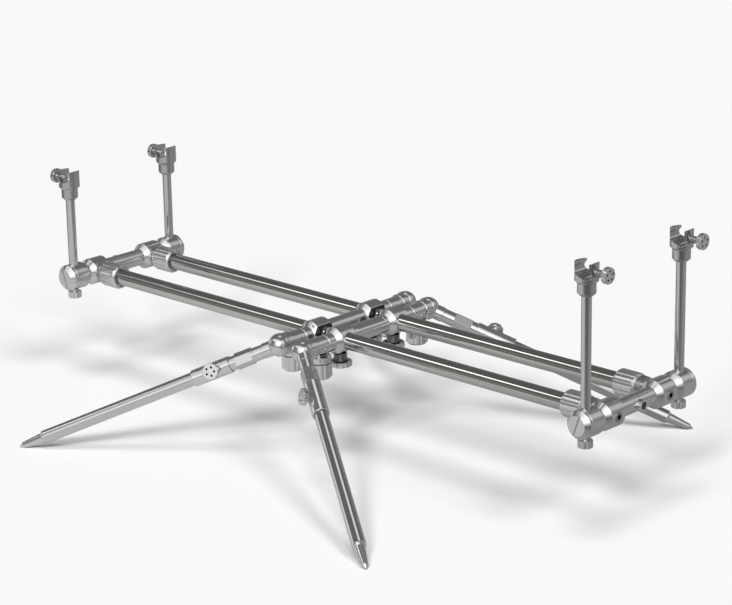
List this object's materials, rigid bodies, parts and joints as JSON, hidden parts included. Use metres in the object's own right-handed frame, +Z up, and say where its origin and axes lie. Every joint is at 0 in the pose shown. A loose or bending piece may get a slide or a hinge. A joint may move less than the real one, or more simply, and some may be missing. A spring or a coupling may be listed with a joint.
{
  "type": "rod pod",
  "caption": "Stainless steel fishing rod pod: parallel main bars with crossbars, uprights and clamping fork heads, on sliding hubs with swinging, telescoping spiked legs.",
  "frame": {"origin": "on the ground under the middle of the pod, at the centre of its outline seen from above", "axes": "+X along the main bars towards the crossbar with the taller uprights, +Y along the crossbars, +Z up"},
  "size_m": [0.9661, 0.6278, 0.3508],
  "materials": {
    "bar_steel": "drawn and polished tube",
    "rod_steel": "drawn and polished rod",
    "body_steel": "turned, fine satin",
    "knob_steel": "turned and fluted, bright",
    "bolt_steel": "dark hexagon socket screw"
  },
  "bodies": {
    "frame": {"main_bar_near": "bar_steel", "main_bar_far": "bar_steel", "crossbar_left": "body_steel", "crossbar_right": "body_steel", "end_caps": "body_steel", "bar_bolts": "bolt_steel"},
    "hub_left": {"hub_left": "body_steel"},
    "hub_right": {"hub_right": "body_steel"},
    "collar_near_left": {"collar_near_left": "knob_steel"},
    "upright_near_left": {"upright_near_left": "rod_steel", "head_near_left": "body_steel"},
    "head_knob_near_left": {"head_knob_near_left": "knob_steel"},
    "foot_screw_near_left": {"foot_screw_near_left": "knob_steel"},
    "bar_clamp_near_left": {"bar_clamp_near_left": "knob_steel"},
    "leg_lock_near_left": {"leg_lock_near_left": "knob_steel"},
    "leg_near_left": {"knuckle_near_left": "body_steel", "rod_near_left": "rod_steel"},
    "leg_end_near_left": {"sleeve_near_left": "body_steel", "lower_tube_near_left": "rod_steel", "spike_near_left": "body_steel"},
    "sleeve_knob_near_left": {"sleeve_knob_near_left": "knob_steel"},
    "collar_near_right": {"collar_near_right": "knob_steel"},
    "upright_near_right": {"upright_near_right": "rod_steel", "head_near_right": "body_steel"},
    "head_knob_near_right": {"head_knob_near_right": "knob_steel"},
    "foot_screw_near_right": {"foot_screw_near_right": "knob_steel"},
    "bar_clamp_near_right": {"bar_clamp_near_right": "knob_steel"},
    "leg_lock_near_right": {"leg_lock_near_right": "knob_steel"},
    "leg_near_right": {"knuckle_near_right": "body_steel", "rod_near_right": "rod_steel"},
    "leg_end_near_right": {"sleeve_near_right": "body_steel", "lower_tube_near_right": "rod_steel", "spike_near_right": "body_steel"},
    "sleeve_knob_near_right": {"sleeve_knob_near_right": "knob_steel"},
    "collar_far_left": {"collar_far_left": "knob_steel"},
    "upright_far_left": {"upright_far_left": "rod_steel", "head_far_left": "body_steel"},
    "head_knob_far_left": {"head_knob_far_left": "knob_steel"},
    "foot_screw_far_left": {"foot_screw_far_left": "knob_steel"},
    "bar_clamp_far_left": {"bar_clamp_far_left": "knob_steel"},
    "leg_lock_far_left": {"leg_lock_far_left": "knob_steel"},
    "leg_far_left": {"knuckle_far_left": "body_steel", "rod_far_left": "rod_steel"},
    "leg_end_far_left": {"sleeve_far_left": "body_steel", "lower_tube_far_left": "rod_steel", "spike_far_left": "body_steel"},
    "sleeve_knob_far_left": {"sleeve_knob_far_left": "knob_steel"},
    "collar_far_right": {"collar_far_right": "knob_steel"},
    "upright_far_right": {"upright_far_right": "rod_steel", "head_far_right": "body_steel"},
    "head_knob_far_right": {"head_knob_far_right": "knob_steel"},
    "foot_screw_far_right": {"foot_screw_far_right": "knob_steel"},
    "bar_clamp_far_right": {"bar_clamp_far_right": "knob_steel"},
    "leg_lock_far_right": {"leg_lock_far_right": "knob_steel"},
    "leg_far_right": {"knuckle_far_right": "body_steel", "rod_far_right": "rod_steel"},
    "leg_end_far_right": {"sleeve_far_right": "body_steel", "lower_tube_far_right": "rod_steel", "spike_far_right": "body_steel"},
    "sleeve_knob_far_right": {"sleeve_knob_far_right": "knob_steel"}
  },
  "joints": [
    {"name": "hub_left_slide", "type": "slide", "parent": "frame", "child": "hub_left", "axis": [-1, 0, 0], "range_m": [-0.002, 0.34]},
    {"name": "hub_right_slide", "type": "slide", "parent": "frame", "child": "hub_right", "axis": [1, 0, 0], "range_m": [-0.002, 0.34]},
    {"name": "collar_near_left_turn", "type": "hinge", "parent": "frame", "child": "collar_near_left", "pos_m": [-0.407, -0.05, 0.155], "axis": [-1, 0, 0], "continuous": true},
    {"name": "upright_near_left_turn", "type": "hinge", "parent": "frame", "child": "upright_near_left", "pos_m": [-0.452, -0.09, 0.185], "axis": [0, 0, 1], "continuous": true},
    {"name": "head_knob_near_left_turn", "type": "hinge", "parent": "upright_near_left", "child": "head_knob_near_left", "pos_m": [-0.472, -0.09, 0.295], "axis": [-1, 0, 0], "continuous": true},
    {"name": "foot_screw_near_left_turn", "type": "hinge", "parent": "frame", "child": "foot_screw_near_left", "pos_m": [-0.452, -0.09, 0.13], "axis": [0, 0, 1], "continuous": true},
    {"name": "bar_clamp_near_left_turn", "type": "hinge", "parent": "hub_left", "child": "bar_clamp_near_left", "pos_m": [-0.0203, -0.05, 0.125], "axis": [0, 0, 1], "continuous": true},
    {"name": "leg_lock_near_left_turn", "type": "hinge", "parent": "hub_left", "child": "leg_lock_near_left", "pos_m": [-0.0248, -0.091, 0.125], "axis": [0, 0, 1], "continuous": true},
    {"name": "leg_near_left_swing", "type": "hinge", "parent": "hub_left", "child": "leg_near_left", "pos_m": [-0.0203, -0.1183, 0.155], "axis": [0, -1, 0], "range_deg": [-27, 60]},
    {"name": "leg_near_left_extend", "type": "slide", "parent": "leg_near_left", "child": "leg_end_near_left", "axis": [-0.7622, -0.5075, -0.4018], "range_m": [-0.0077, 0.1]},
    {"name": "sleeve_knob_near_left_turn", "type": "hinge", "parent": "leg_end_near_left", "child": "sleeve_knob_near_left", "pos_m": [-0.09157, -0.16576, 0.11743], "axis": [0.449, -0.8616, 0.2367], "continuous": true},
    {"name": "collar_near_right_turn", "type": "hinge", "parent": "frame", "child": "collar_near_right", "pos_m": [0.407, -0.05, 0.155], "axis": [1, 0, 0], "continuous": true},
    {"name": "upright_near_right_turn", "type": "hinge", "parent": "frame", "child": "upright_near_right", "pos_m": [0.452, -0.09, 0.185], "axis": [0, 0, 1], "continuous": true},
    {"name": "head_knob_near_right_turn", "type": "hinge", "parent": "upright_near_right", "child": "head_knob_near_right", "pos_m": [0.472, -0.09, 0.339], "axis": [1, 0, 0], "continuous": true},
    {"name": "foot_screw_near_right_turn", "type": "hinge", "parent": "frame", "child": "foot_screw_near_right", "pos_m": [0.452, -0.09, 0.13], "axis": [0, 0, 1], "continuous": true},
    {"name": "bar_clamp_near_right_turn", "type": "hinge", "parent": "hub_right", "child": "bar_clamp_near_right", "pos_m": [0.0203, -0.05, 0.125], "axis": [0, 0, 1], "continuous": true},
    {"name": "leg_lock_near_right_turn", "type": "hinge", "parent": "hub_right", "child": "leg_lock_near_right", "pos_m": [0.0248, -0.091, 0.125], "axis": [0, 0, 1], "continuous": true},
    {"name": "leg_near_right_swing", "type": "hinge", "parent": "hub_right", "child": "leg_near_right", "pos_m": [0.0203, -0.1183, 0.155], "axis": [0, 1, 0], "range_deg": [-27, 60]},
    {"name": "leg_near_right_extend", "type": "slide", "parent": "leg_near_right", "child": "leg_end_near_right", "axis": [0.7582, -0.5075, -0.4093], "range_m": [-0.0007, 0.1]},
    {"name": "sleeve_knob_near_right_turn", "type": "hinge", "parent": "leg_end_near_right", "child": "sleeve_knob_near_right", "pos_m": [0.08589, -0.1622, 0.1196], "axis": [-0.4466, -0.8616, 0.2411], "continuous": true},
    {"name": "collar_far_left_turn", "type": "hinge", "parent": "frame", "child": "collar_far_left", "pos_m": [-0.407, 0.05, 0.155], "axis": [-1, 0, 0], "continuous": true},
    {"name": "upright_far_left_turn", "type": "hinge", "parent": "frame", "child": "upright_far_left", "pos_m": [-0.452, 0.09, 0.185], "axis": [0, 0, 1], "continuous": true},
    {"name": "head_knob_far_left_turn", "type": "hinge", "parent": "upright_far_left", "child": "head_knob_far_left", "pos_m": [-0.472, 0.09, 0.295], "axis": [-1, 0, 0], "continuous": true},
    {"name": "foot_screw_far_left_turn", "type": "hinge", "parent": "frame", "child": "foot_screw_far_left", "pos_m": [-0.452, 0.09, 0.13], "axis": [0, 0, 1], "continuous": true},
    {"name": "bar_clamp_far_left_turn", "type": "hinge", "parent": "hub_left", "child": "bar_clamp_far_left", "pos_m": [-0.0203, 0.05, 0.125], "axis": [0, 0, 1], "continuous": true},
    {"name": "leg_lock_far_left_turn", "type": "hinge", "parent": "hub_left", "child": "leg_lock_far_left", "pos_m": [-0.0248, 0.091, 0.125], "axis": [0, 0, 1], "continuous": true},
    {"name": "leg_far_left_swing", "type": "hinge", "parent": "hub_left", "child": "leg_far_left", "pos_m": [-0.0203, 0.1183, 0.155], "axis": [0, -1, 0], "range_deg": [-27, 60]},
    {"name": "leg_far_left_extend", "type": "slide", "parent": "leg_far_left", "child": "leg_end_far_left", "axis": [-0.7582, 0.5075, -0.4093], "range_m": [-0.0007, 0.1]},
    {"name": "sleeve_knob_far_left_turn", "type": "hinge", "parent": "leg_end_far_left", "child": "sleeve_knob_far_left", "pos_m": [-0.08589, 0.1622, 0.1196], "axis": [0.4466, 0.8616, 0.2411], "continuous": true},
    {"name": "collar_far_right_turn", "type": "hinge", "parent": "frame", "child": "collar_far_right", "pos_m": [0.407, 0.05, 0.155], "axis": [1, 0, 0], "continuous": true},
    {"name": "upright_far_right_turn", "type": "hinge", "parent": "frame", "child": "upright_far_right", "pos_m": [0.452, 0.09, 0.185], "axis": [0, 0, 1], "continuous": true},
    {"name": "head_knob_far_right_turn", "type": "hinge", "parent": "upright_far_right", "child": "head_knob_far_right", "pos_m": [0.472, 0.09, 0.339], "axis": [1, 0, 0], "continuous": true},
    {"name": "foot_screw_far_right_turn", "type": "hinge", "parent": "frame", "child": "foot_screw_far_right", "pos_m": [0.452, 0.09, 0.13], "axis": [0, 0, 1], "continuous": true},
    {"name": "bar_clamp_far_right_turn", "type": "hinge", "parent": "hub_right", "child": "bar_clamp_far_right", "pos_m": [0.0203, 0.05, 0.125], "axis": [0, 0, 1], "continuous": true},
    {"name": "leg_lock_far_right_turn", "type": "hinge", "parent": "hub_right", "child": "leg_lock_far_right", "pos_m": [0.0248, 0.091, 0.125], "axis": [0, 0, 1], "continuous": true},
    {"name": "leg_far_right_swing", "type": "hinge", "parent": "hub_right", "child": "leg_far_right", "pos_m": [0.0203, 0.1183, 0.155], "axis": [0, 1, 0], "range_deg": [-27, 60]},
    {"name": "leg_far_right_extend", "type": "slide", "parent": "leg_far_right", "child": "leg_end_far_right", "axis": [0.7622, 0.5075, -0.4018], "range_m": [-0.0077, 0.1]},
    {"name": "sleeve_knob_far_right_turn", "type": "hinge", "parent": "leg_end_far_right", "child": "sleeve_knob_far_right", "pos_m": [0.09157, 0.16576, 0.11743], "axis": [-0.449, 0.8616, 0.2367], "continuous": true}
  ]
}
